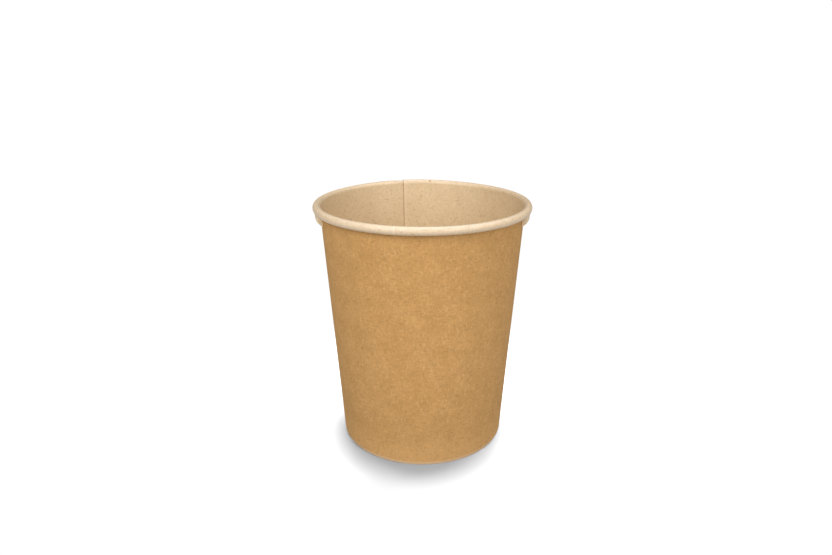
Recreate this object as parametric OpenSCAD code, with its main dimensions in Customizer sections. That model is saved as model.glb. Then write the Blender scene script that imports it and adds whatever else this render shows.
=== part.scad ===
// Paper cup: a lapped conical wall with a rolled rim and a turned-in hem, closed by a recessed bottom disc.
// The origin is on the table at the middle of the base. +Z runs up the cup's axis.
// -Y is the side seen from the front, and the side seam lies at the back.

/* [Cup] */
// Outer diameter across the rolled rim
rim_d = 80; // [74:0.5:100]
// Height from the table to the top of the rim
cup_h = 92.3; // [60:0.1:140]
// Outer diameter of the wall where it meets the table
base_d = 63.1; // [50:0.1:66]

/* [Board] */
// Thickness of the wall's board
board_t = 0.42; // [0.3:0.01:0.6]
// Thickness of the bottom disc's board
disc_t = 0.36; // [0.25:0.01:0.6]
// Film between two sealed faces
film_t = 0.02; // [0.01:0.01:0.05]

/* [Rolled rim] */
// Outer diameter of the roll
roll_d = 2.95; // [2.6:0.05:4]
// Slit between the roll's free edge and the wall
roll_gap = 0.1; // [0.05:0.01:0.3]

/* [Side seam] */
// Direction of the raw edge inside the cup, counted from +X towards +Y
seam_angle = 102.4; // [60:0.1:120]
// Width of the lap at the rim
lap_w = 6; // [4:0.1:10]
// Width over which the outer layer climbs onto the inner one
climb_w = 3; // [2:0.1:5]
// Width of the groove along the raw edge inside
groove_w = 0.5; // [0.3:0.05:1]
// Depth of that groove
groove_depth = 0.22; // [0.1:0.01:0.28]

/* [Base] */
// Height of the hem's free edge above the table
hem_h = 6.2; // [4:0.1:12]
// Bend radius at the two edges of the fold that the cup stands on
fold_r = 0.38; // [0.2:0.01:0.5]
// Space between the hem's free edge and the start of the disc's bend
hem_gap = 0.3; // [0.1:0.05:1]
// Outer bend radius between the bottom disc and its skirt
corner_r = 1; // [0.8:0.05:2]

/* [Sprung places under the rim] */
// How far forward of the cup's side each sprung place is centred, in degrees
sprung_forward = 8; // [0:0.5:20]
// How far the sprung roll stands out from the wall
sprung_out = 2.25; // [1:0.05:2.5]
// How far it hangs below the roll
sprung_drop = 5.4; // [2:0.1:8]
// Length along the rim over which it fades into the wall
sprung_w = 17; // [10:0.5:30]

/* [Hidden] */
$fn = 180;
roll_steps = 28;
bend_steps = 6;
sprung_steps = 10;
// Overrun of every cut past the surface that it opens
over = 0.5;

kraft = [0.78, 0.60, 0.38];
buff = [0.87, 0.75, 0.60];

// The wall leaves the base circle and runs tangent to the roll, so that the roll's brown face continues it.
roll_r = roll_d / 2;
roll_mid_r = rim_d / 2 - roll_r;
roll_mid_z = cup_h - roll_r;
base_r = base_d / 2;
wall_run = norm([roll_mid_r - base_r, roll_mid_z]);
wall_a = atan2(roll_mid_r - base_r, roll_mid_z) - asin((roll_r - board_t) / wall_run);

// Depths of the layers in the base, counted outward from the wall's pale face.
skirt_out = -film_t;
skirt_in = skirt_out - disc_t;
hem_face = skirt_in - film_t;

disc_z = hem_h + hem_gap + corner_r - disc_t;
disc_top_z = disc_z + disc_t;
lap_a = lap_w / wall_r(cup_h, board_t) * 180 / PI;
climb_a = climb_w / wall_r(cup_h, board_t) * 180 / PI;
groove_a = groove_w / wall_r(cup_h, board_t) * 180 / PI;
// The groove follows the roll over the rim and round its outside, as far as it shows.
groove_turn = 240;
// The climb starts inside the lap, at a depth a little under the lap's two boards.
climb_lead_a = climb_a / 4;
climb_share = 0.8;
climb_depth = (1 + climb_share) * board_t;

// Radius at height z of the surface that lies a given depth outward from the wall's pale face.
function wall_r(z, depth) = base_r + z * tan(wall_a) + (depth - board_t) / cos(wall_a);
function on_wall(z, depth) = [wall_r(z, depth), z];
function arc(centre, radius, from, to, steps) = [
    for (i = [0 : steps])
        let (a = from + (to - from) * i / steps)
            centre + radius * [cos(a), sin(a)]];
function reversed(points) = [for (i = [len(points) - 1 : -1 : 0]) points[i]];

// The roll turns outward and down until its free edge, on the pale side, is one slit away from the wall.
roll_turn = 360 - acos((roll_r - board_t - roll_gap) / roll_r);
function roll_arc(depth, turn) =
    arc([roll_mid_r, roll_mid_z], roll_r - depth, 180 - wall_a, 180 - wall_a - turn, roll_steps);

// Brown face of the sheet: hem, fold on the table, wall and the inside of the roll.
brown_face = concat(
    [on_wall(hem_h, hem_face - board_t)],
    arc(on_wall(fold_r, hem_face - board_t + fold_r), fold_r, -180 - wall_a, -90, bend_steps),
    arc(on_wall(fold_r, board_t - fold_r), fold_r, -90, -wall_a, bend_steps),
    roll_arc(board_t, roll_turn));

// Pale face of the sheet, which lines the cup and is the outside of the roll.
pale_face = concat(
    [on_wall(hem_h, hem_face), on_wall(board_t, hem_face), on_wall(board_t, 0)],
    roll_arc(0, roll_turn));

// Second layer of the lap, outside the wall. It reaches half a board into the first layer, and its lower
// end is pressed to a slope above the fold.
module lap_section() {
    polygon([
        on_wall(fold_r, board_t / 2),
        on_wall(fold_r + board_t, 2 * board_t),
        on_wall(cup_h - roll_d, 2 * board_t),
        on_wall(cup_h - roll_d, board_t / 2)]);
}

// Second layer of the lap on the hem, towards the middle of the cup.
module hem_lap_section() {
    polygon([
        on_wall(fold_r, hem_face - board_t / 2),
        on_wall(fold_r + board_t, hem_face - 2 * board_t),
        on_wall(hem_h, hem_face - 2 * board_t),
        on_wall(hem_h, hem_face - board_t / 2)]);
}

module sheet() {
    rotate_extrude() polygon(concat(brown_face, reversed(pale_face)));
}

module seam_lap() {
    rotate([0, 0, seam_angle - lap_a]) {
        rotate_extrude(angle = lap_a) lap_section();
        rotate_extrude(angle = lap_a) hem_lap_section();
    }
}

// Board that fills the step where the outer layer climbs onto the inner one, with sloped ends.
module climb_section() {
    polygon([
        on_wall(fold_r + board_t, board_t / 3),
        on_wall(fold_r + 2 * board_t, climb_depth),
        on_wall(cup_h - roll_d - board_t, climb_depth),
        on_wall(cup_h - roll_d, board_t / 3)]);
}

// The climb is cut flat, from just inside the lap down to the single sheet and on into it.
module seam_climb() {
    start_r = wall_r(cup_h / 2, climb_depth);
    end_r = wall_r(cup_h / 2, board_t);
    flat_a = atan2(start_r - end_r * cos(climb_a), end_r * sin(climb_a));
    rotate([0, 0, seam_angle - climb_lead_a]) difference() {
        rotate_extrude(angle = climb_a + climb_lead_a) climb_section();
        translate([start_r, 0, cup_h / 2])
            rotate([0, wall_a, 0])
                rotate([0, 0, flat_a])
                    translate([0, -climb_w, -cup_h])
                        cube([climb_w, 4 * climb_w, 2 * cup_h]);
    }
}

// Narrow groove along the raw edge, up the inside of the wall and over the part of the roll that shows.
module seam_groove() {
    rotate([0, 0, seam_angle]) rotate_extrude(angle = groove_a)
        polygon(concat(
            [on_wall(disc_top_z, groove_depth)],
            roll_arc(groove_depth, groove_turn),
            reversed(roll_arc(-over, groove_turn)),
            [on_wall(disc_top_z, -over)]));
}

// Swelling where the roll's inner turn has sprung out below it. It is turned about an axis of its own,
// nearer than the cup's, so that it sinks into the wall on both sides.
module sprung_place(direction) {
    top_z = cup_h - roll_d + board_t / 2;
    low_z = cup_h - roll_d - sprung_drop;
    wall_here = wall_r(top_z, board_t);
    turn_r = 1 / (1 / wall_here + 8 * sprung_out / pow(sprung_w, 2));
    axis_r = wall_here + sprung_out - turn_r;
    bulge = wall_here + sprung_out - wall_r(low_z, board_t);
    drop = top_z - low_z;
    bend_a = 2 * atan(bulge / drop);
    bend_r = drop / sin(bend_a);
    difference() {
        rotate([0, 0, direction]) translate([axis_r, 0, 0]) rotate_extrude()
            polygon(concat(
                [[0, top_z]],
                arc([turn_r - bend_r, top_z], bend_r, 0, -bend_a, sprung_steps),
                [[0, low_z]]));
        rotate_extrude()
            polygon([
                [0, low_z - over],
                on_wall(low_z - over, board_t / 2),
                on_wall(top_z + over, board_t / 2),
                [0, top_z + over]]);
    }
}

module side_wall() {
    color(kraft) difference() {
        union() {
            sheet();
            seam_lap();
            seam_climb();
            for (direction = [-sprung_forward, 180 + sprung_forward])
                sprung_place(direction);
        }
        seam_groove();
    }
}

module bottom_disc() {
    bend_mid = on_wall(disc_top_z - corner_r, skirt_out - corner_r);
    color(buff) rotate_extrude()
        polygon(concat(
            [[0, disc_top_z]],
            arc(bend_mid, corner_r, 90, -wall_a, bend_steps),
            [on_wall(board_t + film_t, skirt_out), on_wall(board_t + film_t, skirt_in)],
            arc(bend_mid, corner_r - disc_t, -wall_a, 90, bend_steps),
            [[0, disc_z]]));
}

side_wall();
bottom_disc();
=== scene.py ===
"""A kraft paper cup on a white studio floor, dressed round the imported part.

The cup is two pieces of board. The side wall is one sheet, brown outside and pale inside, wrapped to a cone,
lapped at the back, rolled outward into the rim and turned in and up at the foot. The bottom disc is a punched
board with a turned-down skirt, sealed between the wall and the turned-in foot.
"""

import logging
import math
from dataclasses import dataclass, field
from enum import Enum

import bpy
import numpy as np
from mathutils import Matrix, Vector


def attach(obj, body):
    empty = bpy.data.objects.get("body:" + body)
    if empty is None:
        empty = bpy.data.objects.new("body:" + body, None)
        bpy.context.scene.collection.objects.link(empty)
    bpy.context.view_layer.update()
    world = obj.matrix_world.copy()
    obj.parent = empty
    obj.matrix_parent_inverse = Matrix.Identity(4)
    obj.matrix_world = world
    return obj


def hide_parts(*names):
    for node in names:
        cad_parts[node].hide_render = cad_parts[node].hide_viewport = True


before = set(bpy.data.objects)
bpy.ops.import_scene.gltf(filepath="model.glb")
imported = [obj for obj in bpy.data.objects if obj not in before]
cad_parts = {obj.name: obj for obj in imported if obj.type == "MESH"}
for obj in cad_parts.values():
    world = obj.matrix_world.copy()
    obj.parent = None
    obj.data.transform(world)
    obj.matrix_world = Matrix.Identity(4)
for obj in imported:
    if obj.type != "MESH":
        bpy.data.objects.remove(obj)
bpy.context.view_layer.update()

MM = 0.001
FULL_TURN = 2 * math.pi
FRONT_DEG = -90.0
BACK_DEG = 90.0
SHARP_EDGE_DEG = 40.0
LOG = logging.getLogger("paper_cup")

Links = dict[str | int, object]
Corners = tuple[int, ...]
Step = tuple[np.ndarray, np.ndarray, float]


class Face(Enum):
    """Which side of a board a face of its mesh belongs to."""

    OUTSIDE = 0
    LINING = 1
    CUT = 2


class Mark(Enum):
    """What has been done to the board at a corner of its mesh, or light painted on it there, as a share from
    0 to 1.
    """

    # Rolled over the rim; on the brown face it is painted light from the floor on the wall's foot.
    ROLLED_AND_FOOT_LIGHT = "rolled"
    # Painted light on the places where the roll has sprung out.
    SPRUNG_LIGHT = "sprung"
    # Pressed pale at the creases and the fold, paler beside the raw edge, and a painted highlight on the
    # rim's crown.
    PRESSED_AND_HIGHLIGHT = "pressed"


class Slot(Enum):
    """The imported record's material slots."""

    WALL = "wall_board"
    BOTTOM = "bottom_board"


def linear(colour: str) -> tuple[float, float, float, float]:
    """Turns an sRGB hex colour into the linear colour that a shader reads.

    Args:
        colour: The colour as "#rrggbb".

    Returns:
        Red, green and blue as linear shares, and an alpha of 1.
    """
    shares = [int(colour[i : i + 2], 16) / 255 for i in (1, 3, 5)]
    red, green, blue = (((c + 0.055) / 1.055) ** 2.4 if c > 0.04045 else c / 12.92 for c in shares)
    return red, green, blue, 1.0


def smooth(value: np.ndarray | float) -> np.ndarray:
    """Clips a share to 0..1 and eases it at both ends."""
    share = np.clip(value, 0, 1)
    return share * share * (3 - 2 * share)


def turned_from(direction: np.ndarray, start: float) -> np.ndarray:
    """Angle from one direction to others, in degrees from -180 to 180."""
    return (direction - start + 180) % 360 - 180


def add_node(
    tree: bpy.types.NodeTree, kind: str, inputs: Links | None = None, **settings: object
) -> bpy.types.Node:
    """Adds a node to a tree, with its settings, values and links.

    Args:
        tree: The node tree that gets the node.
        kind: The node's type name in Blender.
        inputs: What goes into each input, by name or number: a value, or the socket that is linked to it.
        settings: The node's own settings, by attribute name.

    Returns:
        The new node.
    """
    node = tree.nodes.new(kind)
    for name, value in settings.items():
        setattr(node, name, value)
    for key, value in (inputs or {}).items():
        if isinstance(value, bpy.types.NodeSocket):
            tree.links.new(value, node.inputs[key])
        else:
            node.inputs[key].default_value = value
    return node


@dataclass(frozen=True)
class FibreBoard:
    """Paper board: matt, with a fine felt of short fibres that lie in every direction.

    Clouds are the slow drift of tone from the pulp. The felt is two fields of fibres, one lying across the
    cup and one upright. A fibre is near 0.03 mm thick, and is drawn 0.42 mm thick so that it shows. Flecks
    are single darker or paler fibres. Board that is rolled or pressed has a tone of its own. The rolled tone
    also carries painted light from the floor on the wall's foot, the sprung tone is painted light on the
    places where the roll has sprung out, and the pressed tone also carries a painted highlight on the rim's
    crown. A foot bounce is the colour of the light that the cup's foot throws on the floor. It is a plain
    grey on the wall, as the shadow there is in the photo.

    A range gives a field's values where it starts to show and where it shows fully.
    """

    name: str
    colour: str
    cloud_colour: str
    dark_fleck: str
    pale_fleck: str
    rolled: str
    sprung: str
    pressed: str
    roughness: float
    ior: float
    specular: float
    felt_contrast: float
    fleck_share: float
    cloud_mm: float = 6.0
    cloud_range: tuple[float, float] = (0.3, 0.7)
    fibre_mm: float = 0.42
    fibre_long: float = 3.6
    felt_range: tuple[float, float] = (0.6, 1.4)
    fleck_mm: float = 0.7
    pale_fleck_wide: float = 1.2
    fleck_range: tuple[float, float] = (0.62, 0.78)
    finer_share: float = 0.6
    relief_mm: float = 0.02
    relief_strength: float = 0.35
    foot_bounce: str = ""
    foot_mm: tuple[float, float] = (30.0, 60.0)

    def fibres(
        self, tree: bpy.types.NodeTree, size_mm: float, lengths: Vector, octaves: float
    ) -> bpy.types.NodeSocket:
        """Makes a field of fibres over the piece, or of soft blobs where they are no longer than thick.

        Args:
            tree: The material's node tree.
            size_mm: How thick a fibre is.
            lengths: How many times longer than thick it is along X, Y and Z.
            octaves: Number of finer fields laid over the first.

        Returns:
            The socket that carries the field, from 0 to 1.
        """
        where = add_node(tree, "ShaderNodeTexCoord").outputs["Object"]
        shrink = Vector((1 / lengths.x, 1 / lengths.y, 1 / lengths.z))
        # Each field is moved by an amount of its own, so that no two of them line up.
        placed = add_node(
            tree, "ShaderNodeMapping", {"Vector": where, "Scale": shrink, "Location": lengths * size_mm}
        )
        return add_node(
            tree,
            "ShaderNodeTexNoise",
            {
                "Vector": placed.outputs[0],
                "Scale": 1 / (size_mm * MM),
                "Detail": octaves,
                "Roughness": self.finer_share,
            },
        ).outputs[0]

    def felt(self, tree: bpy.types.NodeTree) -> bpy.types.NodeSocket:
        """Lays fibres across the cup over upright ones.

        Args:
            tree: The material's node tree.

        Returns:
            The socket that carries the felt, from 0 to 2.
        """
        long = self.fibre_long
        across = self.fibres(tree, self.fibre_mm, Vector((long, long, 1)), 1.0)
        upright = self.fibres(tree, self.fibre_mm, Vector((1, 1, long)), 1.0)
        return add_node(tree, "ShaderNodeMath", {0: across, 1: upright}, operation="ADD").outputs[0]

    def lay_tones(
        self, tree: bpy.types.NodeTree, colour: object, tones: list[tuple[bpy.types.NodeSocket, str]]
    ) -> bpy.types.NodeSocket:
        """Lays tones over a colour, one after another.

        Args:
            tree: The material's node tree.
            colour: The colour below, as a linear colour or a socket.
            tones: The socket that carries each tone's share, and the tone as "#rrggbb".

        Returns:
            The socket that carries the mixed colour.
        """
        for share, tone in tones:
            laid = add_node(tree, "ShaderNodeMix", {0: share, 6: colour, 7: linear(tone)}, data_type="RGBA")
            colour = laid.outputs[2]
        return colour

    def foot_share(self, tree: bpy.types.NodeTree) -> bpy.types.NodeSocket:
        """Finds where the foot bounce counts: near the table, and only in the light that the board throws on.

        Args:
            tree: The material's node tree.

        Returns:
            The socket that carries the share, from 0 to 1.
        """
        where = add_node(tree, "ShaderNodeTexCoord").outputs["Object"]
        height = add_node(tree, "ShaderNodeSeparateXYZ", {0: where}).outputs["Z"]
        low, high = (edge * MM for edge in self.foot_mm)
        ends = {"Value": height, "From Min": low, "From Max": high, "To Min": 1.0, "To Max": 0.0}
        near = add_node(tree, "ShaderNodeMapRange", ends).outputs[0]
        thrown = add_node(tree, "ShaderNodeLightPath").outputs["Is Diffuse Ray"]
        return add_node(tree, "ShaderNodeMath", {0: near, 1: thrown}, operation="MULTIPLY").outputs[0]

    def tint(self, tree: bpy.types.NodeTree, felt: bpy.types.NodeSocket) -> bpy.types.NodeSocket:
        """Mixes the board's colour: clouds, worked and pressed places, painted light and highlight, felt and
        flecks.

        Args:
            tree: The material's node tree.
            felt: The socket that carries the felt.

        Returns:
            The socket that carries the colour.
        """
        fleck_long = self.fibre_long / 2
        clouds = self.fibres(tree, self.cloud_mm, Vector((1, 1, 1)), 2.0)
        dark = self.fibres(tree, self.fleck_mm, Vector((fleck_long, fleck_long, 1)), 0.0)
        pale = self.fibres(tree, self.fleck_mm, Vector((1, self.pale_fleck_wide, fleck_long)), 0.0)
        clouded, shade, darkened, lightened = (
            add_node(
                tree,
                "ShaderNodeMapRange",
                {"Value": value, "From Min": low, "From Max": high, "To Min": least, "To Max": most},
            ).outputs[0]
            for value, (low, high), least, most in (
                (clouds, self.cloud_range, 0.0, 1.0),
                (felt, self.felt_range, 1 - self.felt_contrast, 1 + self.felt_contrast),
                (dark, self.fleck_range, 0.0, self.fleck_share),
                (pale, self.fleck_range, 0.0, self.fleck_share),
            )
        )
        rolled, sprung, pressed = (
            add_node(tree, "ShaderNodeAttribute", attribute_name=mark.value).outputs["Fac"]
            for mark in (Mark.ROLLED_AND_FOOT_LIGHT, Mark.SPRUNG_LIGHT, Mark.PRESSED_AND_HIGHLIGHT)
        )
        # The rolled tone also paints light on the wall's foot, and the sprung tone paints light on the sprung
        # places.
        under = [(clouded, self.cloud_colour), (rolled, self.rolled), (sprung, self.sprung)]
        # The pressed tone also paints a highlight on the rim's crown.
        over = [(darkened, self.dark_fleck), (lightened, self.pale_fleck), (pressed, self.pressed)]
        if self.foot_bounce:
            over.append((self.foot_share(tree), self.foot_bounce))
        board = self.lay_tones(tree, linear(self.colour), under)
        felted = add_node(tree, "ShaderNodeVectorMath", {0: board, "Scale": shade}, operation="SCALE")
        return self.lay_tones(tree, felted.outputs[0], over)

    def material(self) -> bpy.types.Material:
        """Builds the material.

        Returns:
            The material, with its colour, roughness and relief from the fibres.
        """
        made = bpy.data.materials.new(self.name)
        made.use_nodes = True
        tree = made.node_tree
        tree.nodes.clear()
        felt = self.felt(tree)
        relief = add_node(
            tree,
            "ShaderNodeBump",
            {"Strength": self.relief_strength, "Distance": self.relief_mm * MM, "Height": felt},
        )
        shader = add_node(
            tree,
            "ShaderNodeBsdfPrincipled",
            {
                "Base Color": self.tint(tree, felt),
                "Roughness": self.roughness,
                "IOR": self.ior,
                "Specular IOR Level": self.specular,
                "Normal": relief.outputs[0],
            },
        )
        add_node(tree, "ShaderNodeOutputMaterial", {"Surface": shader.outputs[0]})
        return made


# Unbleached kraft board, machine-calendered: matt tan brown with darker and paler fibres.
KRAFT = FibreBoard(
    name="kraft_board_calendered",
    colour="#cf9f64",
    cloud_colour="#c5965b",
    dark_fleck="#ae814c",
    pale_fleck="#e0b37a",
    # Painted light from the floor, laid paler on the wall's foot.
    rolled="#e0ad6f",
    sprung="#cf9f64",
    pressed="#e8c092",
    roughness=0.85,
    ior=1.45,
    specular=0.25,
    felt_contrast=0.12,
    fleck_share=0.4,
    foot_bounce="#595959",
)

# Buff board with a thin melt-coated film: pale, specked, with a broad soft sheen.
BUFF = FibreBoard(
    name="buff_board_film_coated",
    colour="#e5cca5",
    cloud_colour="#e0c59d",
    dark_fleck="#c3a376",
    pale_fleck="#edd9b9",
    rolled="#e2c9a8",
    # Painted light that brightens the places where the roll has sprung out.
    sprung="#f2d8ae",
    # Pressed pale, and a painted highlight on the rim's crown at the front.
    pressed="#efe0c8",
    roughness=0.4,
    ior=1.5,
    specular=0.7,
    felt_contrast=0.08,
    fleck_share=0.45,
)

# Cut edge of the board, punched: rough, open fibres, a little darker than the faces.
CUT = FibreBoard(
    name="board_edge_punched",
    colour="#b98c5b",
    cloud_colour="#b08352",
    dark_fleck="#96703f",
    pale_fleck="#cfa678",
    rolled="#b98c5b",
    sprung="#b98c5b",
    pressed="#b98c5b",
    roughness=0.95,
    ior=1.45,
    specular=0.1,
    felt_contrast=0.2,
    fleck_share=0.6,
)


@dataclass(frozen=True)
class MattFloor:
    """Matt white studio vinyl, rolled out flat: even and without gloss."""

    name: str = "matt_white_vinyl_rolled"
    colour: str = "#fefeff"
    bounce_colour: str = "#8e8e8e"
    white_colour: str = "#ffffff"
    white_strength: float = 1.03
    white_from_mm: tuple[float, float] = (75.0, 110.0)

    def material(self) -> bpy.types.Material:
        """Builds the floor's material.

        Returns:
            The material, which throws less light back on the cup than it shows. Beyond the cup's shadow it is
            seen as plain white, so that the cup's outline stays soft against it.
        """
        made = bpy.data.materials.new(self.name)
        made.use_nodes = True
        tree = made.node_tree
        tree.nodes.clear()
        lit = add_node(tree, "ShaderNodeBsdfDiffuse", {"Color": linear(self.colour)})
        bounce = add_node(tree, "ShaderNodeBsdfDiffuse", {"Color": linear(self.bounce_colour)})
        white = add_node(
            tree, "ShaderNodeEmission", {"Color": linear(self.white_colour), "Strength": self.white_strength}
        )
        where = add_node(tree, "ShaderNodeTexCoord").outputs["Object"]
        away = add_node(tree, "ShaderNodeVectorMath", {0: where}, operation="LENGTH").outputs["Value"]
        near, beyond = (edge * MM for edge in self.white_from_mm)
        ends = {"Value": away, "From Min": near, "From Max": beyond}
        far = add_node(tree, "ShaderNodeMapRange", ends).outputs[0]
        shown = add_node(tree, "ShaderNodeMixShader", {0: far, 1: lit.outputs[0], 2: white.outputs[0]})
        seen = add_node(tree, "ShaderNodeLightPath").outputs["Is Camera Ray"]
        shader = add_node(tree, "ShaderNodeMixShader", {0: seen, 1: bounce.outputs[0], 2: shown.outputs[0]})
        add_node(tree, "ShaderNodeOutputMaterial", {"Surface": shader.outputs[0]})
        return made


@dataclass(frozen=True)
class ConeForm:
    """The cone that both boards follow, in millimetres. Depth counts outward from the wall's pale face.

    The wall is made of board, and the disc of disc_board. A film lies between any two faces that are sealed.
    """

    rim_d: float = 80.0
    height: float = 92.3
    base_d: float = 63.1
    board: float = 0.42
    disc_board: float = 0.36
    film: float = 0.02
    roll_d: float = 2.95

    @property
    def roll_r(self) -> float:
        """Outer radius of the rim's roll."""
        return self.roll_d / 2

    @property
    def roll_mid(self) -> tuple[float, float]:
        """Radius and height of the roll's middle."""
        return self.rim_d / 2 - self.roll_r, self.height - self.roll_r

    @property
    def lean(self) -> float:
        """The wall's slope from upright, in radians, with the wall tangent to the roll."""
        out, up = self.roll_mid[0] - self.base_d / 2, self.roll_mid[1]
        return math.atan2(out, up) - math.asin((self.roll_r - self.board) / math.hypot(out, up))

    def radius(self, z: float | np.ndarray, depth: float | np.ndarray) -> float | np.ndarray:
        """Radius of the surface at a height and a depth.

        Args:
            z: Height above the table.
            depth: Distance outward from the wall's pale face.

        Returns:
            The distance from the cup's axis.
        """
        return self.base_d / 2 + z * math.tan(self.lean) + (depth - self.board) / math.cos(self.lean)


def turn_round(radius: np.ndarray, z: np.ndarray, spin: np.ndarray) -> np.ndarray:
    """Places the steps of a face's columns round the cup's axis.

    Args:
        radius: Distance from the axis, for each column and step.
        z: Height, for each column and step.
        spin: Direction of each column, in radians.

    Returns:
        The corners, column by column.
    """
    x, y = radius * np.cos(spin)[:, None], radius * np.sin(spin)[:, None]
    return np.stack([x, y, z], axis=-1).reshape(-1, 3)


def grid_faces(rows: np.ndarray, flip: bool, closed: bool) -> list[Corners]:
    """Joins a grid of corners with four-sided faces.

    Args:
        rows: Corner numbers, one row for each column of the surface.
        flip: Whether the faces look the other way.
        closed: Whether the last row joins the first.

    Returns:
        The corner numbers of each face.
    """
    near, far = (rows, np.roll(rows, -1, axis=0)) if closed else (rows[:-1], rows[1:])
    quads = np.stack([near[:, :-1], far[:, :-1], far[:, 1:], near[:, 1:]], axis=-1).reshape(-1, 4)
    return [tuple(q) for q in (quads[:, ::-1] if flip else quads).tolist()]


def gather(parts: list[tuple[Face, list[Corners]]]) -> tuple[list[Corners], list[int]]:
    """Puts the faces of a piece's parts in one list.

    Args:
        parts: The side of the board that each part belongs to, and the part's faces.

    Returns:
        The corner numbers of each face, and the number of each face's finish.
    """
    faces = [corners for _, part in parts for corners in part]
    return faces, [side.value for side, part in parts for _ in part]


def build_piece(
    name: str,
    points: np.ndarray,
    faces: list[Corners],
    kinds: list[int],
    finishes: list[FibreBoard],
    marks: dict[Mark, np.ndarray] | None = None,
) -> bpy.types.Object:
    """Makes an object from points and faces, with one finish for each kind of face.

    Args:
        name: The object's name.
        points: The corners, in millimetres.
        faces: The corner numbers of each face.
        kinds: The number of each face's finish.
        finishes: The finishes, in the order of their numbers.
        marks: How strongly each corner carries each mark, from 0 to 1.

    Returns:
        The object, linked to the scene.
    """
    mesh = bpy.data.meshes.new(name)
    mesh.from_pydata((points * MM).tolist(), [], faces)
    mesh.validate(verbose=False)
    for finish in finishes:
        mesh.materials.append(bpy.data.materials.get(finish.name) or finish.material())
    mesh.polygons.foreach_set("material_index", kinds)
    mesh.polygons.foreach_set("use_smooth", [True] * len(faces))
    for mark, shares in (marks or {}).items():
        mesh.attributes.new(mark.value, "FLOAT", "POINT").data.foreach_set("value", shares.astype(np.float32))
    mesh.set_sharp_from_angle(angle=math.radians(SHARP_EDGE_DEG))
    mesh.update()
    made = bpy.data.objects.new(name, mesh)
    bpy.context.scene.collection.objects.link(made)
    return made


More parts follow.
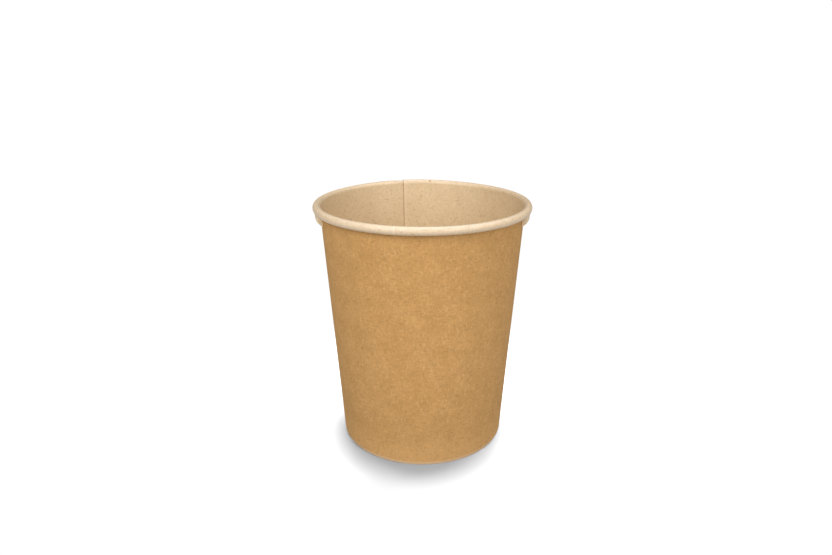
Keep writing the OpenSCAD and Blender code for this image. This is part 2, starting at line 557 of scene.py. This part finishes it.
@dataclass
class WrappedWall:
    """The side wall: one sheet, from its raw edge inside the seam, once round the cup and on over the lap.

    Sizes are in millimetres. Directions are in degrees from +X towards +Y. A column runs up the sheet in one
    direction, with its steps from the hem's free edge through the fold and the wall to the roll's.
    """

    form: ConeForm = field(default_factory=ConeForm)

    # The seam: its lap, the climb of the layer that runs behind it, and the raw edge inside, with a strip of
    # brown core that also paints the groove's shade, and a paler strip beside it.
    seam_deg: float = 102.4
    lap_w: float = 6.0
    lap_fade_w: float = 1.6
    climb_w: float = 5.0
    climb_wait_w: float = 0.45
    # A strip of brown core along the raw edge, which also paints the shade of the groove there.
    core_and_shade_w: float = 0.11
    # A paler strip of the lining beside the raw edge.
    edge_pale: float = 0.25
    edge_pale_w: float = 0.5
    edge_pale_fade_w: float = 0.8

    # The foot: the hem, the fold, how far above them the layers of the lap are pressed into one board, and
    # how high painted light from the floor reaches up the wall.
    hem_h: float = 6.2
    hem_low_bends: float = 3.0
    hem_press_fade: float = 1.4
    fold_r: float = 0.38
    wall_low_bends: float = 1.6
    wall_press_bends: float = 2.0
    wall_press_fade: float = 1.6
    fold_line_z: tuple[float, float] = (0.95, 1.5)
    # How high painted light from the floor reaches up the wall's foot.
    foot_pale_z: float = 14.0

    # The rim: the roll's slit, how high it stands at the back, its creases, its crown with its painted
    # highlight, and its nick.
    roll_gap: float = 0.1
    least_reach_share: float = -0.2
    rim_lift: float = 0.35
    rim_lift_deg: float = 99.0
    rim_lift_width_deg: float = 50.0
    rim_creases_deg: tuple[float, ...] = (-129.0, -103.0, -66.0, -45.5)
    crease_deg: float = 0.45
    crease_press: float = 0.5
    # A painted highlight on the roll's crown, strongest at the front.
    crown_highlight: float = 0.45
    crown_deg: float = 66.0
    crown_width_deg: float = 42.0
    crown_front_deg: float = 110.0
    nick_at_deg: float = 86.2
    nick_roll_deg: tuple[float, float] = (120.0, 150.0)
    nick_depth: float = 0.12

    # The sprung places: where they are, how they fade along the rim, and the sheet's radii and heights there.
    sprung_deg: tuple[float, float] = (-8.0, 188.0)
    sprung_front_deg: float = 14.0
    sprung_front_fade_deg: float = 2.5
    sprung_back_deg: float = 5.0
    sprung_back_fade_deg: float = 14.0
    sprung_turn_deg: float = 226.0
    sprung_path: tuple[tuple[float, float], ...] = (
        (39.48, 89.7),
        (39.22, 89.4),
        (39.36, 89.1),
        (39.32, 88.5),
        (39.3, 87.85),
        (39.2, 87.25),
        (38.75, 86.6),
        (38.15, 86.0),
        (37.6, 85.55),
        (37.25, 85.2),
    )

    # How closely the mesh follows: columns round the cup and steps up it.
    column_deg: float = 1.5
    edge_columns_deg: tuple[float, ...] = (0.4, 0.9, 1.8)
    past_lap_deg: float = 2.5
    past_seam_deg: float = 1.0
    climb_column_deg: float = 0.3
    crease_columns: int = 2
    sprung_reach_deg: float = 22.0
    sprung_column_deg: float = 0.6
    least_column_deg: float = 0.1
    column_decimals: int = 3
    hem_steps: int = 5
    bend_steps: int = 6
    above_fold: float = 0.6
    wall_steps: int = 28
    below_roll: float = 0.4
    roll_steps: int = 44
    roll_press_steps: int = 8
    roll_tone_steps: int = 5
    slack_steps: int = 3

    @property
    def skirt_depth(self) -> float:
        """Depth of the turned-in foot's pale face, inside the disc's skirt."""
        return -(2 * self.form.film + self.form.disc_board)

    @property
    def deg_per_mm(self) -> float:
        """Degrees that a millimetre along the rim takes."""
        return math.degrees(1 / (self.form.rim_d / 2))

    @property
    def roll_turn(self) -> float:
        """How far a single sheet turns in the roll, in radians."""
        form = self.form
        return FULL_TURN - math.acos((form.roll_r - form.board - self.roll_gap) / form.roll_r)

    @property
    def roll_angles(self) -> np.ndarray:
        """Direction of each step of the roll from its middle, in degrees from outward towards up."""
        turned = self.roll_turn * (np.arange(self.roll_steps) + 1) / self.roll_steps
        return 180 - np.degrees(self.form.lean + turned)

    def columns(self) -> np.ndarray:
        """Places the columns round the sheet, closer together at the seam, the creases and the sprung places.

        Returns:
            The turn of each column from the raw edge inside the seam, in degrees.
        """
        lap, core = self.lap_w * self.deg_per_mm, self.core_and_shade_w * self.deg_per_mm
        climb = 360 - (self.climb_w + self.climb_wait_w) * self.deg_per_mm
        end = 360 + lap
        turns = [0.0, core, *self.edge_columns_deg, lap, lap + self.past_lap_deg, climb, end]
        turns += list(np.arange(0, end, self.column_deg))
        turns += list(np.arange(climb, 360 + self.past_seam_deg, self.climb_column_deg))
        for crease in self.rim_creases_deg:
            middle = (self.seam_deg - crease) % 360
            beside = range(-self.crease_columns, self.crease_columns + 1)
            turns += [middle + step * self.crease_deg for step in beside]
        for place in self.sprung_deg:
            middle = (self.seam_deg - place) % 360
            reach = self.sprung_reach_deg
            turns += list(np.arange(middle - reach, middle + reach, self.sprung_column_deg))
        ordered = np.unique(np.round(turns, self.column_decimals))
        keep = [ordered[0]]
        for turn in ordered[1:]:
            if turn - keep[-1] > self.least_column_deg:
                keep.append(turn)
        keep[-1] = end
        return np.array(keep)

    def layer_depth(self, turn: np.ndarray) -> np.ndarray:
        """Depth of the sheet's pale face, which sinks by one board where it runs behind the lap.

        Args:
            turn: Turn of each column from the raw edge inside the seam, in degrees.

        Returns:
            The depth of each column, in millimetres.
        """
        start = 360 - (self.climb_w + self.climb_wait_w) * self.deg_per_mm
        share = smooth((turn - start) / (self.climb_w * self.deg_per_mm))
        return (self.form.board + self.form.film) * share

    def stack(self, turn: np.ndarray) -> np.ndarray:
        """Thickness of all the board at each column, counted from the wall's pale face.

        Args:
            turn: Turn of each column from the raw edge inside the seam, in degrees.

        Returns:
            The thickness, in millimetres.
        """
        past_lap = turn - self.lap_w * self.deg_per_mm
        behind = 1 - smooth(past_lap / (self.lap_fade_w * self.deg_per_mm))
        own = self.layer_depth(turn) + self.form.board
        return np.maximum(own, self.form.board + behind * (self.form.board + self.form.film))

    def straight_step(self, z: float, pale: float, brown: float, squeeze: float) -> Step:
        """Draws a step of the hem or the wall.

        Args:
            z: Its height.
            pale: Depth of the pale face.
            brown: Depth of the brown face.
            squeeze: How fully the layers of the lap are pressed into one board there.

        Returns:
            The pale point and the brown point, as radius and height, and the squeeze.
        """
        radius = self.form.radius
        return np.array([radius(z, pale), z]), np.array([radius(z, brown), z]), float(squeeze)

    def hem_profile(self) -> list[Step]:
        """Draws the hem, from its free edge down to the fold.

        Returns:
            The steps of a column.
        """
        low, pale = self.hem_low_bends * self.fold_r, self.skirt_depth
        return [
            self.straight_step(z, pale, pale - self.form.board, 1 - smooth((z - low) / self.hem_press_fade))
            for z in np.linspace(self.hem_h, low, self.hem_steps)
        ]

    def fold_profile(self) -> list[Step]:
        """Draws the fold that the cup stands on, as two bends of the brown face round a flat pale one.

        Returns:
            The steps of a column.
        """
        form, bend, steps = self.form, self.fold_r, self.bend_steps + 1
        hem_mid = np.array([form.radius(bend, self.skirt_depth - form.board + bend), bend])
        wall_mid = np.array([form.radius(bend, form.board - bend), bend])
        bends = (
            (hem_mid, np.linspace(-math.pi - form.lean, -math.pi / 2, steps)),
            (wall_mid, np.linspace(-math.pi / 2, -form.lean, steps)),
        )
        brown = [mid + bend * np.array([math.cos(a), math.sin(a)]) for mid, angles in bends for a in angles]
        hem_side = np.array([form.radius(form.board, self.skirt_depth), form.board])
        wall_side = np.array([form.radius(form.board, 0), form.board])
        pale = np.linspace(hem_side, wall_side, len(brown))
        return [(pale_point, brown_point, 1.0) for pale_point, brown_point in zip(pale, brown)]

    def wall_profile(self) -> list[Step]:
        """Draws the wall, from the fold up to the roll.

        Returns:
            The steps of a column.
        """
        low = [self.wall_low_bends * self.fold_r, *self.fold_line_z]
        top = self.form.roll_mid[1] - self.below_roll
        open_z = self.wall_press_bends * self.fold_r
        return [
            self.straight_step(z, 0, self.form.board, 1 - smooth((z - open_z) / self.wall_press_fade))
            for z in (*low, *np.linspace(low[-1] + self.above_fold, top, self.wall_steps))
        ]

    def roll_profile(self, extra: np.ndarray) -> tuple[np.ndarray, np.ndarray]:
        """Draws the roll, which turns less where more board lies behind the sheet.

        Args:
            extra: Board beyond a single sheet at each column, which keeps the roll's free edge off the wall.

        Returns:
            The pale face and the brown face, as radius and height for each column and step.
        """
        form = self.form
        reach = (form.roll_r - form.board - self.roll_gap - extra) / form.roll_r
        whole = FULL_TURN - np.arccos(np.clip(reach, self.least_reach_share, 1))
        angle = math.pi - form.lean - whole[:, None] * np.linspace(0, 1, self.roll_steps + 1)[None]
        ring = np.stack([np.cos(angle), np.sin(angle)], axis=-1)
        middle = np.array(form.roll_mid)
        return middle + form.roll_r * ring, middle + (form.roll_r - form.board) * ring

    def profile(self, extra: np.ndarray) -> tuple[np.ndarray, np.ndarray, np.ndarray]:
        """Draws the sheet's two faces, from the hem's free edge to the roll's.

        Args:
            extra: Board beyond a single sheet at each column.

        Returns:
            The pale face and the brown face, as radius and height for each column and step, and how fully
            each step is squeezed to one board's thickness.
        """
        *fixed, squeeze = zip(*self.hem_profile(), *self.fold_profile(), *self.wall_profile())
        pale, brown = (
            np.concatenate([np.repeat(np.array(face)[None], len(extra), axis=0), roll], axis=1)
            for face, roll in zip(fixed, self.roll_profile(extra))
        )
        roll_squeeze = smooth(np.arange(self.roll_steps + 1) / self.roll_press_steps)
        return pale, brown, np.concatenate([squeeze, roll_squeeze])

    def sprung_share(self, azimuth: np.ndarray) -> np.ndarray:
        """How far the roll's inner turn has sprung out below it at each column.

        Args:
            azimuth: Direction of each column.

        Returns:
            A share from 0 to 1, which ends steeply towards the front and fades slowly to the back.
        """
        share = np.zeros(len(azimuth))
        for place in self.sprung_deg:
            backward = -1 if place > BACK_DEG else 1
            away = turned_from(azimuth, place) * backward
            front = smooth((away + self.sprung_front_deg) / self.sprung_front_fade_deg)
            back = 1 - smooth((away - self.sprung_back_deg) / self.sprung_back_fade_deg)
            share = np.maximum(share, front * back)
        return share

    def leave_step(self, steps: int) -> int:
        """Step at which the sheet leaves the roll's circle where it has sprung.

        Args:
            steps: Number of steps in each column.

        Returns:
            The step's number in its column.
        """
        turned = self.sprung_turn_deg / math.degrees(self.roll_turn)
        return steps - self.roll_steps - 1 + round(self.roll_steps * turned)

    def spring_out(
        self, pale: np.ndarray, brown: np.ndarray, share: np.ndarray
    ) -> tuple[np.ndarray, np.ndarray]:
        """Lets the roll's inner turn hang out below the roll where it has sprung.

        Args:
            pale: The pale face, as radius and height for each column and step.
            brown: The brown face, likewise.
            share: How far each column has sprung.

        Returns:
            The two faces with the sprung places.
        """
        leave = self.leave_step(pale.shape[1])
        path = np.array(self.sprung_path)
        knots = np.arange(len(path))
        at = np.linspace(0, knots[-1], pale.shape[1] - leave)
        line = np.stack([np.interp(at, knots, path[:, 0]), np.interp(at, knots, path[:, 1])], axis=-1)
        along = np.gradient(line, axis=0)
        along /= np.hypot(along[:, 0], along[:, 1])[:, None]
        inner = line + np.stack([along[:, 1], -along[:, 0]], axis=-1) * self.form.board
        weight = share[:, None, None]
        pale, brown = pale.copy(), brown.copy()
        pale[:, leave:] += weight * (line - pale[:, leave:])
        brown[:, leave:] += weight * (inner - brown[:, leave:])
        return pale, brown

    def nick_steps(self, steps: int) -> np.ndarray:
        """Steps at which the rim's small nick lies, in a column of the given number of steps."""
        low, high = self.nick_roll_deg
        return steps - self.roll_steps + np.flatnonzero((self.roll_angles > low) & (self.roll_angles < high))

    def nick_rim(self, pale: np.ndarray, brown: np.ndarray, column: int) -> np.ndarray:
        """Dents the pale face at the rim's small nick.

        Args:
            pale: The pale face, as radius and height for each column and step.
            brown: The brown face, likewise.
            column: The nick's first column of two.

        Returns:
            The pale face with the nick.
        """
        steps, nicked = self.nick_steps(pale.shape[1])[1:], slice(column, column + 2)
        dented = pale.copy()
        dented[nicked, steps] += self.nick_depth * (brown - pale)[nicked, steps] / self.form.board
        return dented

    def lift_rim(self, z: np.ndarray, azimuth: np.ndarray) -> np.ndarray:
        """Lifts the rim a little at the back, where the seam's lap is rolled in.

        Args:
            z: Height of each column's steps.
            azimuth: Direction of each column.

        Returns:
            The lifted heights.
        """
        share = 1 - smooth(np.abs(turned_from(azimuth, self.rim_lift_deg)) / self.rim_lift_width_deg)
        return z + self.rim_lift * share[:, None] * smooth(z / self.form.height)

    def roll_lining(self, turn: np.ndarray, steps: int, sprung: np.ndarray) -> np.ndarray:
        """Marks where the lining is stretched over the rim's roll.

        Args:
            turn: Turn of each column from the raw edge inside the seam, in degrees.
            steps: Number of steps in each column.
            sprung: How far each column has sprung.

        Returns:
            A share from 0 to 1 for each column and step. It fades where the roll has sprung out.
        """
        rolled = np.zeros((len(turn), steps))
        rolled[:, -self.roll_steps :] = smooth((np.arange(self.roll_steps) + 1) / self.roll_tone_steps)
        return rolled * (1 - self.sprung_light_share(steps, sprung))

    def sprung_light_share(self, steps: int, sprung: np.ndarray) -> np.ndarray:
        """Marks where the roll has sprung out, where the sprung tone paints light on it.

        Args:
            steps: Number of steps in each column.
            sprung: How far each column has sprung.

        Returns:
            A share from 0 to 1 for each column and step.
        """
        past = np.arange(steps) - self.leave_step(steps) + self.slack_steps
        return sprung[:, None] * smooth(past / self.slack_steps)

    def press_and_highlight_lining(self, turn: np.ndarray, steps: int) -> np.ndarray:
        """Marks where the lining is paler: beside the raw edge, pressed at the rim's creases, and a painted
        highlight on its crown.

        The painted highlight is strongest at the front.

        Args:
            turn: Turn of each column from the raw edge inside the seam, in degrees.
            steps: Number of steps in each column.

        Returns:
            A share from 0 to 1 for each column and step.
        """
        azimuth, roll = self.seam_deg - turn, steps - self.roll_steps
        past_edge = turn - self.edge_pale_w * self.deg_per_mm
        pressed = np.zeros((len(turn), steps))
        beside_edge = 1 - smooth(past_edge / (self.edge_pale_fade_w * self.deg_per_mm))
        pressed += self.edge_pale * beside_edge[:, None]
        for crease in self.rim_creases_deg:
            away = np.abs(turned_from(azimuth, crease))
            streak = self.crease_press * (1 - smooth(away / self.crease_deg))
            pressed[:, roll:] = np.maximum(pressed[:, roll:], streak[:, None])
        # A painted highlight on the roll's crown, strongest at the front.
        facing = 1 - smooth(np.abs(turned_from(azimuth, FRONT_DEG)) / self.crown_front_deg)
        crown = 1 - smooth(np.abs(self.roll_angles - self.crown_deg) / self.crown_width_deg)
        pressed[:, roll:] += self.crown_highlight * facing[:, None] * crown[None]
        return np.minimum(pressed, 1)

    def mark_outside(self, brown: np.ndarray) -> tuple[np.ndarray, np.ndarray]:
        """Marks the foot's painted light from the floor, and the fold, where the brown face is pressed pale.

        Args:
            brown: The brown face, as radius and height for each column and step.

        Returns:
            How strongly the painted light shows and how strongly it is pressed, from 0 to 1 for each column
            and step.
        """
        low, high = self.fold_line_z
        outside = brown[..., 0] > self.form.radius(brown[..., 1], 0)
        # Painted light from the floor, paler towards the table.
        foot_lit = 1 - smooth(brown[..., 1] / self.foot_pale_z)
        return outside * foot_lit, outside * (1 - smooth((brown[..., 1] - low) / (high - low)))

    def join(self, columns: int, steps: int, nicked: int) -> tuple[list[Corners], list[int]]:
        """Joins the corners of the pale and the brown face, and of the cut edges all round.

        Args:
            columns: Number of columns.
            steps: Number of steps in each column.
            nicked: The nick's first column of two.

        Returns:
            The corner numbers of each face, and the number of each face's finish.
        """
        pale = np.arange(columns * steps).reshape(columns, steps)
        brown = pale + columns * steps
        cuts = (
            (pale[:, 0], brown[:, 0], True),
            (pale[:, -1], brown[:, -1], False),
            (pale[0], brown[0], False),
            (pale[-1], brown[-1], True),
        )
        parts = [
            (Face.LINING, grid_faces(pale, True, False)),
            (Face.OUTSIDE, grid_faces(brown, False, False)),
            *((Face.CUT, grid_faces(np.stack([a, b], axis=-1), flip, False)) for a, b, flip in cuts),
        ]
        faces, kinds = gather(parts)
        # The raw edge is cut at a slant, so the first strip of the lining shows the board's brown core. It
        # also paints the shade of the groove at the raw edge.
        kinds[: steps - 1] = [Face.CUT.value] * (steps - 1)
        # The nick goes through the lining to the core.
        for step in self.nick_steps(steps):
            kinds[nicked * (steps - 1) + int(step)] = Face.CUT.value
        return faces, kinds

    def build(self) -> bpy.types.Object:
        """Builds and dresses the sheet.

        Returns:
            The wall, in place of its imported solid.
        """
        turn = self.columns()
        azimuth = self.seam_deg - turn
        stack, depth, sprung = self.stack(turn), self.layer_depth(turn), self.sprung_share(azimuth)
        pale, brown, squeeze = self.profile(stack - self.form.board)
        pale, brown = self.spring_out(pale, brown, sprung)
        nicked = int(np.argmin(np.abs(azimuth - self.nick_at_deg)))
        pale = self.nick_rim(pale, brown, nicked)
        press = 1 + squeeze[None] * (self.form.board / stack[:, None] - 1)
        through = (brown - pale) / self.form.board
        points = []
        for below in (depth, depth + self.form.board):
            face = pale + through * (below[:, None] * press)[..., None]
            points.append(turn_round(face[..., 0], self.lift_rim(face[..., 1], azimuth), np.radians(azimuth)))
        columns, steps = pale.shape[:2]
        foot_lit, folded = self.mark_outside(brown)
        # The rolled mark also carries painted light on the wall's foot, the sprung mark is painted light on
        # the sprung places, and the pressed mark also carries a painted highlight on the rim's crown.
        marks = {
            Mark.ROLLED_AND_FOOT_LIGHT: (self.roll_lining(turn, steps, sprung), foot_lit),
            Mark.SPRUNG_LIGHT: (self.sprung_light_share(steps, sprung), np.zeros_like(foot_lit)),
            Mark.PRESSED_AND_HIGHLIGHT: (self.press_and_highlight_lining(turn, steps), folded),
        }
        made = build_piece(
            "wrapped_wall",
            np.concatenate(points),
            *self.join(columns, steps, nicked),
            [KRAFT, BUFF, CUT],
            {mark: np.concatenate(faces).reshape(-1) for mark, faces in marks.items()},
        )
        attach(made, "root")
        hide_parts("side_wall")
        return made


@dataclass
class BottomDisc:
    """The bottom: a punched disc of board, with its edge turned down into a skirt.

    Sizes are in millimetres.
    """

    form: ConeForm = field(default_factory=ConeForm)
    top_z: float = 7.5
    corner_r: float = 1.0
    first_ring_r: float = 0.4
    column_deg: float = 2.0
    flat_steps: int = 14
    bend_steps: int = 8
    skirt_steps: int = 6

    def profile(self) -> tuple[np.ndarray, np.ndarray]:
        """Draws the disc's upper and lower faces, from beside the axis to the skirt's free edge.

        Returns:
            The upper and outer face, and the lower and inner face, as radius and height.
        """
        form, board, skirt_depth = self.form, self.form.disc_board, -self.form.film
        mid_z = self.top_z - self.corner_r
        mid = np.array([form.radius(mid_z, skirt_depth - self.corner_r), mid_z])
        out: list[np.ndarray] = []
        under: list[np.ndarray] = []
        for radius in np.linspace(self.first_ring_r, mid[0], self.flat_steps)[:-1]:
            out.append(np.array([radius, self.top_z]))
            under.append(np.array([radius, self.top_z - board]))
        for angle in np.linspace(math.pi / 2, -form.lean, self.bend_steps + 1):
            ring = np.array([math.cos(angle), math.sin(angle)])
            out.append(mid + self.corner_r * ring)
            under.append(mid + (self.corner_r - board) * ring)
        for z in np.linspace(out[-1][1], form.board + form.film, self.skirt_steps + 1)[1:]:
            out.append(np.array([form.radius(z, skirt_depth), z]))
            under.append(np.array([form.radius(z, skirt_depth - board), z]))
        return np.array(out), np.array(under)

    def build(self) -> bpy.types.Object:
        """Builds and dresses the disc.

        Returns:
            The disc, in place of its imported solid.
        """
        faces = self.profile()
        spin = np.radians(np.arange(0, 360, self.column_deg))
        columns, steps = len(spin), len(faces[0])
        rings = [turn_round(face[None, :, 0], np.tile(face[:, 1], (columns, 1)), spin) for face in faces]
        centres = np.array([[0, 0, self.top_z], [0, 0, self.top_z - self.form.disc_board]])
        count = columns * steps
        upper = np.arange(count).reshape(columns, steps)
        lower = upper + count
        top, base = 2 * count, 2 * count + 1
        inmost = list(zip(upper[:, 0].tolist(), np.roll(upper[:, 0], -1).tolist()))
        parts = [
            (Face.LINING, grid_faces(upper, True, True)),
            (Face.OUTSIDE, grid_faces(lower, False, True)),
            (Face.CUT, grid_faces(np.stack([upper[:, -1], lower[:, -1]], axis=-1), True, True)),
            (Face.LINING, [(a, b, top) for a, b in inmost]),
            (Face.OUTSIDE, [(b + count, a + count, base) for a, b in inmost]),
        ]
        points = np.concatenate([*rings, centres])
        made = build_piece("punched_disc", points, *gather(parts), [BUFF, BUFF, CUT])
        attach(made, "root")
        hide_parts("bottom_disc")
        return made


@dataclass(frozen=True)
class Lamp:
    """A soft lamp. Its turn is counted from straight in front of the cup towards +X.

    A lamp with a distance is a round softbox that far from the cup's middle, and its light falls off down the
    cup. A lamp without one is far away. The distance and the height that it is aimed at are in metres.
    """

    name: str
    strength: float
    rise_deg: float
    turn_deg: float
    spread_deg: float
    distance: float = 0.0
    aim_z: float = 0.046

    @property
    def direction(self) -> Vector:
        """Direction from the cup to the lamp."""
        rise, turn = math.radians(self.rise_deg), math.radians(self.turn_deg)
        return Vector((math.sin(turn) * math.cos(rise), -math.cos(turn) * math.cos(rise), math.sin(rise)))

    def hang(self, lit: bpy.types.Collection) -> None:
        """Hangs the lamp. A matt white surface that faces it is as bright as its strength.

        Args:
            lit: What the lamp lights. Everything still throws a shadow in its light.
        """
        spread = math.radians(self.spread_deg)
        if self.distance:
            light = bpy.data.lights.new(self.name, "AREA")
            light.shape = "DISK"
            light.size = 2 * self.distance * math.tan(spread / 2)
            light.energy = self.strength * (math.pi * self.distance) ** 2
        else:
            light = bpy.data.lights.new(self.name, "SUN")
            light.angle = spread
            light.energy = self.strength * math.pi
        hung = bpy.data.objects.new(self.name, light)
        hung.rotation_euler = self.direction.to_track_quat("Z", "Y").to_euler()
        hung.location = self.direction * (self.distance or 1.0) + Vector((0, 0, self.aim_z))
        hung.light_linking.receiver_collection = lit
        bpy.context.scene.collection.objects.link(hung)


@dataclass
class Studio:
    """White floor, soft lamps over, before and beside the cup, and the camera.

    A lamp's numbers are its strength, its rise, turn and spread in degrees, and a near one's distance. The
    floor's half width and the camera's nearest and furthest sight are in metres, and the camera's place, lens
    and sensor in millimetres.
    """

    floor_half: float = 8.0
    cup_lamps: tuple[Lamp, ...] = (
        Lamp("top_back_lamp", 0.197, 72.0, 180.0, 20.0),
        Lamp("top_front_lamp", 0.113, 80.0, 0.0, 12.0),
        Lamp("front_wide_softbox", 0.467, 8.0, 0.0, 90.0),
        Lamp("left_near_softbox", 0.278, 35.0, -40.0, 36.87, 0.45),
        Lamp("right_near_softbox", 0.182, 35.0, 40.0, 36.87, 0.45),
        Lamp("left_high_softbox", 0.225, 45.0, -40.0, 40.0),
        Lamp("right_softbox", 0.101, 20.0, 40.0, 40.0),
        Lamp("right_high_softbox", 0.248, 60.0, 90.0, 40.0),
    )
    floor_lamps: tuple[Lamp, ...] = (
        Lamp("floor_top_lamp", 0.389, 90.0, 0.0, 8.0),
        Lamp("floor_back_softbox", 0.861, 45.0, 180.0, 40.0),
        Lamp("floor_left_softbox", 0.368, 20.0, -40.0, 40.0),
        Lamp("floor_right_softbox", 0.531, 20.0, 40.0, 40.0),
        Lamp("floor_right_side_softbox", 0.224, 20.0, 75.0, 40.0),
        Lamp("floor_back_left_softbox", 0.343, 40.0, -140.0, 40.0),
        Lamp("floor_back_right_softbox", 0.676, 40.0, 140.0, 40.0),
    )
    surround_colour: str = "#ffffff"
    surround_strength: float = 1.05
    camera_at: tuple[float, float, float] = (0.0, -230.8837, 143.1243)
    camera_tilt_deg: float = 70.663
    lens: float = 27.637
    sensor: float = 36.0
    shift_x: float = -0.00768
    sight: tuple[float, float] = (0.01, 50.0)

    def lay_floor(self) -> bpy.types.Object:
        """Lays the floor at the height that the cup stands on.

        Returns:
            The floor.
        """
        half = self.floor_half
        corners = [(-half, -half, 0), (half, -half, 0), (half, half, 0), (-half, half, 0)]
        mesh = bpy.data.meshes.new("floor")
        mesh.from_pydata(corners, [], [(0, 1, 2, 3)])
        mesh.materials.append(MattFloor().material())
        floor = bpy.data.objects.new("floor", mesh)
        bpy.context.scene.collection.objects.link(floor)
        return floor

    def hang_lamps(self, pieces: list[bpy.types.Object], floor: bpy.types.Object) -> None:
        """Hangs the lamps.

        Args:
            pieces: The cup's pieces, which have lamps of their own.
            floor: The floor, which has the others.
        """
        for lamps, lit in ((self.cup_lamps, pieces), (self.floor_lamps, [floor])):
            group = bpy.data.collections.new(f"lit_{lit[0].name}")
            for one in lit:
                group.objects.link(one)
            for lamp in lamps:
                lamp.hang(group)

    def hang_surround(self) -> None:
        """Sets a white background that sheds no light on the cup, and the plain view transform."""
        world = bpy.data.worlds.new("surround")
        world.use_nodes = True
        tree = world.node_tree
        tree.nodes.clear()
        dark = add_node(tree, "ShaderNodeBackground", {"Strength": 0.0})
        shown = {"Color": linear(self.surround_colour), "Strength": self.surround_strength}
        white = add_node(tree, "ShaderNodeBackground", shown)
        seen = add_node(tree, "ShaderNodeLightPath").outputs["Is Camera Ray"]
        both = add_node(tree, "ShaderNodeMixShader", {0: seen, 1: dark.outputs[0], 2: white.outputs[0]})
        add_node(tree, "ShaderNodeOutputWorld", {"Surface": both.outputs[0]})
        bpy.context.scene.world = world
        bpy.context.scene.view_settings.view_transform = "Standard"

    def place_camera(self) -> bpy.types.Object:
        """Places the camera in front of the cup, looking down on it.

        Returns:
            The camera.
        """
        data = bpy.data.cameras.new("camera")
        data.sensor_width = self.sensor
        data.lens = self.lens
        data.shift_x = self.shift_x
        data.clip_start, data.clip_end = self.sight
        camera = bpy.data.objects.new("camera", data)
        camera.location = Vector(self.camera_at) * MM
        camera.rotation_euler = (math.radians(self.camera_tilt_deg), 0, 0)
        bpy.context.scene.collection.objects.link(camera)
        bpy.context.scene.camera = camera
        return camera


def main() -> None:
    """Builds the cup's pieces, the floor, the lamps and the camera."""
    logging.basicConfig(level=logging.INFO, format="%(name)s: %(message)s")
    pieces = [piece.build() for piece in (WrappedWall(), BottomDisc())]
    for made in pieces:
        LOG.info("%s: %d faces", made.name, len(made.data.polygons))
    studio = Studio()
    floor = studio.lay_floor()
    LOG.info("%s laid", floor.name)
    studio.hang_lamps(pieces, floor)
    studio.hang_surround()
    LOG.info("%s placed", studio.place_camera().name)


if __name__ == "__main__":
    main()
